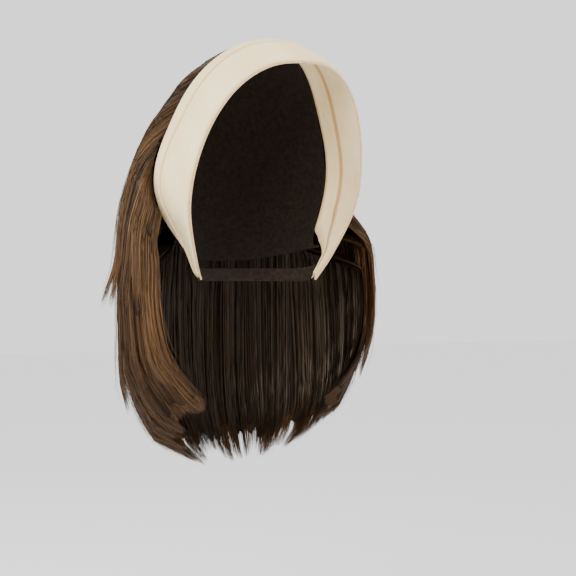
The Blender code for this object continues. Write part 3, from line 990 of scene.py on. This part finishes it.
for index in range(len(HAIR_LAYERS)):
    underlayer(index)

# %% [markdown]
# ## Strands
#
# One strand is a narrow ribbon, wide at the middle and pointed at the tip. An
# Array modifier repeats it thousands of times in one mesh, and each copy is
# then bent along its own path. Hair gathers in locks, and each lock in finer
# ones, so a strand is drawn toward the middle of its lock as it falls. Strands
# at a lock's middle ride higher than those at its edges, which makes the lock
# round. A few stray ones stand off.

# %% Make one strand
STRAND_SEGMENTS = 11
STRAND_PITCH = 10.0


def strand_mesh(name, count):
    """Many copies of a ribbon in one mesh, with each point's strand, side and place along."""
    ribbon = bmesh.new()
    bmesh.ops.create_grid(ribbon, x_segments=1, y_segments=STRAND_SEGMENTS, size=1.0)
    data = bpy.data.meshes.new(name)
    ribbon.to_mesh(data)
    ribbon.free()
    single = bpy.data.objects.new(name + "_single", data)
    bpy.context.scene.collection.objects.link(single)
    array = single.modifiers.new("copies", "ARRAY")
    array.count = count
    array.use_relative_offset = False
    array.use_constant_offset = True
    array.constant_offset_displace = (STRAND_PITCH, 0.0, 0.0)
    bpy.context.view_layer.update()
    many = bpy.data.meshes.new_from_object(single.evaluated_get(bpy.context.evaluated_depsgraph_get()))
    bpy.data.objects.remove(single)
    many.name = name
    flat = np.empty(len(many.vertices) * 3)
    many.vertices.foreach_get("co", flat)
    flat = flat.reshape(-1, 3)
    strand = np.rint(flat[:, 0] / STRAND_PITCH).astype(int)
    side = np.sign(flat[:, 0] - strand * STRAND_PITCH)
    along = (flat[:, 1] + 1) / 2
    return many, strand, side, along


# %% [markdown]
# The path of a strand comes from its curtain's grid. Random numbers from a
# fixed seed choose its root, length, depth, width and shade, so the hair is the
# same in every run.

# %% Bend the strands
LOCKS_AROUND = 30
FINE_LOCKS_AROUND = 170
LOCK_PULL = 0.13
FINE_PULL = 0.30
LOCK_SWAY = 0.013
STRAND_HALF_WIDTH = 0.00030
STRAY_SHARE = 0.035
STRAY_LIFT = (0.001, 0.006)
LOOSE_SHARE = 0.25
STRAY_DRIFT = 0.03
LOOSE_DRIFT = 0.014
USUAL_DRIFT = 0.004
EARLY_SHARE = 0.08
EARLY_STAGES = (0.4, 2.0)
FROM_ROOT_SHARE = 0.75
LATEST_START = 2.0
LOCK_SHORTENED = 0.55
LOCK_POINT = 0.18
LOCK_ROUNDNESS = 0.0009
MIDDLE_SHADE = 0.45
FINE_LOCK_SHADES = 0.055
LOCK_SHADES = 0.04
STRAND_SHADES = 0.085
GOLDEN_SHARE = 0.10
GOLDEN_LIFT = 0.16
LOCK_SEED = 900
FINE_LOCK_SEED = 950
LOCK_FORM_SEED = 970
SHADE_SEED = 990
FLICK_PLACE = -0.55
FLICK_HEIGHT = 0.010


def grow_strands(index, side_name, low, high, seed):
    """One piece of strands on a curtain, between two places around the wig."""
    layer = HAIR_LAYERS[index]
    curtain = curtain_maps[index]
    dice = np.random.default_rng(seed)
    count = int(layer.strands * (high - low) / 2)
    mesh, strand, side, along = strand_mesh(layer.name + "_strands_" + side_name, count)

    root = dice.uniform(low, high, count)
    locks = np.sort(np.random.default_rng(LOCK_SEED + index).uniform(-1.02, 1.02, LOCKS_AROUND))
    fine = np.sort(np.random.default_rng(FINE_LOCK_SEED + index).uniform(-1.01, 1.01, FINE_LOCKS_AROUND))
    lock = np.abs(root[:, None] - locks[None, :]).argmin(1)
    fine_lock = np.abs(root[:, None] - fine[None, :]).argmin(1)
    lock_dice = np.random.default_rng(LOCK_FORM_SEED + index)
    lock_short = lock_dice.uniform(0.0, LOCK_SHORTENED, LOCKS_AROUND)
    lock_phase = lock_dice.uniform(0.0, 6.28, LOCKS_AROUND)
    lock_flick = lock_dice.uniform(0.0, 1.0, LOCKS_AROUND) ** 2
    longest = np.abs(locks - FLICK_PLACE).argmin()
    lock_flick[longest] = 1.0
    lock_short[longest] = 0.1
    fine_shade = np.random.default_rng(SHADE_SEED + index).normal(0.0, 1.0, FINE_LOCKS_AROUND)
    lock_shade = lock_dice.normal(0.0, 1.0, LOCKS_AROUND)

    off_centre = np.minimum(np.abs(root - locks[lock]) * LOCKS_AROUND, 1.5)
    ends = layer.ends + 0.15 - lock_short[lock] - layer.ragged * dice.uniform(0, 1, count) ** 1.5
    ends = ends - LOCK_POINT * off_centre ** 2
    early = dice.uniform(0, 1, count) < EARLY_SHARE
    ends = np.where(early, ends - dice.uniform(*EARLY_STAGES, count), ends)
    from_root = dice.uniform(0, 1, count) < FROM_ROOT_SHARE
    starts = np.where(from_root, 0.0, dice.uniform(0.0, LATEST_START, count))
    stray = dice.uniform(0, 1, count) < STRAY_SHARE
    lift = np.where(stray, dice.uniform(*STRAY_LIFT, count), 0.0)
    loose = dice.uniform(0, 1, count) < LOOSE_SHARE
    reach = np.where(stray, STRAY_DRIFT, np.where(loose, LOOSE_DRIFT, USUAL_DRIFT))
    drift = dice.normal(0.0, 1.0, count) * reach
    layer_in = dice.uniform(0.0, 0.75, count) ** 1.3
    half_width = STRAND_HALF_WIDTH * dice.uniform(0.65, 1.35, count)
    roll = dice.normal(0.0, 0.55, count)
    twist = dice.normal(0.0, 0.5, count)

    t = along
    stage = starts[strand] + (ends[strand] - starts[strand]) * t
    fall = np.clip(stage / layer.ends, 0, 1)
    pull = smooth(fall * 1.25) ** 1.5
    place = root[strand]
    place = place + (fine[fine_lock][strand] - root[strand]) * FINE_PULL * pull
    place = place + (locks[lock][strand] - root[strand]) * LOCK_PULL * pull ** 2
    place = place + LOCK_SWAY * np.sin(5.5 * fall + lock_phase[lock][strand]) * fall
    place = place + drift[strand] * fall ** 2
    around = np.clip(place, -1.03, 1.03) * layer.reach
    point, normal = curtain.read(around, stage)
    normal = normal / np.linalg.norm(normal, axis=1, keepdims=True)

    wall = layer.wall * (1 - HAIR_EDGE_THINNING * around ** 2) * (0.35 + 0.65 * smooth(stage / FULL_WALL_STAGE))
    depth = layer_in[strand] * wall + LOCK_ROUNDNESS * off_centre[strand] ** 2 * smooth(stage / 2)
    depth = depth - lift[strand] * fall ** 2
    if index == 0:
        depth = depth - FLICK_HEIGHT * lock_flick[lock][strand] * smooth((fall - 0.84) / 0.16)
    if index == len(HAIR_LAYERS) - 1:
        depth = 0.0024 + 0.6 * depth
    centre = point - normal * (depth - 0.0003)[:, None]

    order = np.lexsort((side, t, strand))
    rows = STRAND_SEGMENTS + 1
    path = centre[order].reshape(count, rows, 2, 3)[:, :, 0, :]
    tangent = np.gradient(path, axis=1)
    tangent = tangent / np.linalg.norm(tangent, axis=2, keepdims=True)
    up = normal[order].reshape(count, rows, 2, 3)[:, :, 0, :]
    sideways = np.cross(tangent, up)
    sideways = sideways / np.linalg.norm(sideways, axis=2, keepdims=True)
    lifted = np.cross(sideways, tangent)
    steps = np.linspace(0, 1, rows)[None, :]
    angle = roll[:, None] + twist[:, None] * steps
    ribbon = sideways * np.cos(angle)[..., None] + lifted * np.sin(angle)[..., None]
    shape = (0.6 + 0.4 * smooth(steps / 0.15)) * (1 - 0.88 * steps ** 4)
    offset = ribbon * (half_width[:, None] * shape)[..., None]
    placed = np.empty_like(centre)
    pairs = np.stack([path - offset, path + offset], axis=2).reshape(-1, 3)
    placed[order] = pairs
    mesh.vertices.foreach_set("co", placed.ravel())

    # Painted shade: layer.dark pulls an inner curtain's strands toward the dark end and thins its golden ones.
    shade = MIDDLE_SHADE - layer.dark + FINE_LOCK_SHADES * fine_shade[fine_lock]
    shade = shade + LOCK_SHADES * lock_shade[lock] + dice.normal(0, STRAND_SHADES, count)
    golden = dice.uniform(0, 1, count) < GOLDEN_SHARE * (1 - 2 * layer.dark)
    shade = np.clip(np.where(golden, shade + GOLDEN_LIFT, shade), 0.02, 0.98)
    loops = np.empty(len(mesh.loops), dtype=int)
    mesh.loops.foreach_get("vertex_index", loops)
    shade_map = mesh.uv_layers.new(name="OFBake")
    shade_map.data.foreach_set("uv", np.stack([shade[strand][loops], 0.02 + 0.96 * t[loops]], 1).ravel())
    mesh.update()
    mesh.shade_smooth()
    mesh.materials.clear()
    mesh.materials.append(strand_finish)
    piece = bpy.data.objects.new(mesh.name, mesh)
    bpy.context.scene.collection.objects.link(piece)
    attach(piece, "root")
    print(piece.name, count, "strands", len(mesh.polygons) * 2, "triangles")
    return piece


for index in range(len(HAIR_LAYERS)):
    grow_strands(index, "right", -1.0, 0.0, 10 + index)
    grow_strands(index, "left", 0.0, 1.0, 20 + index)
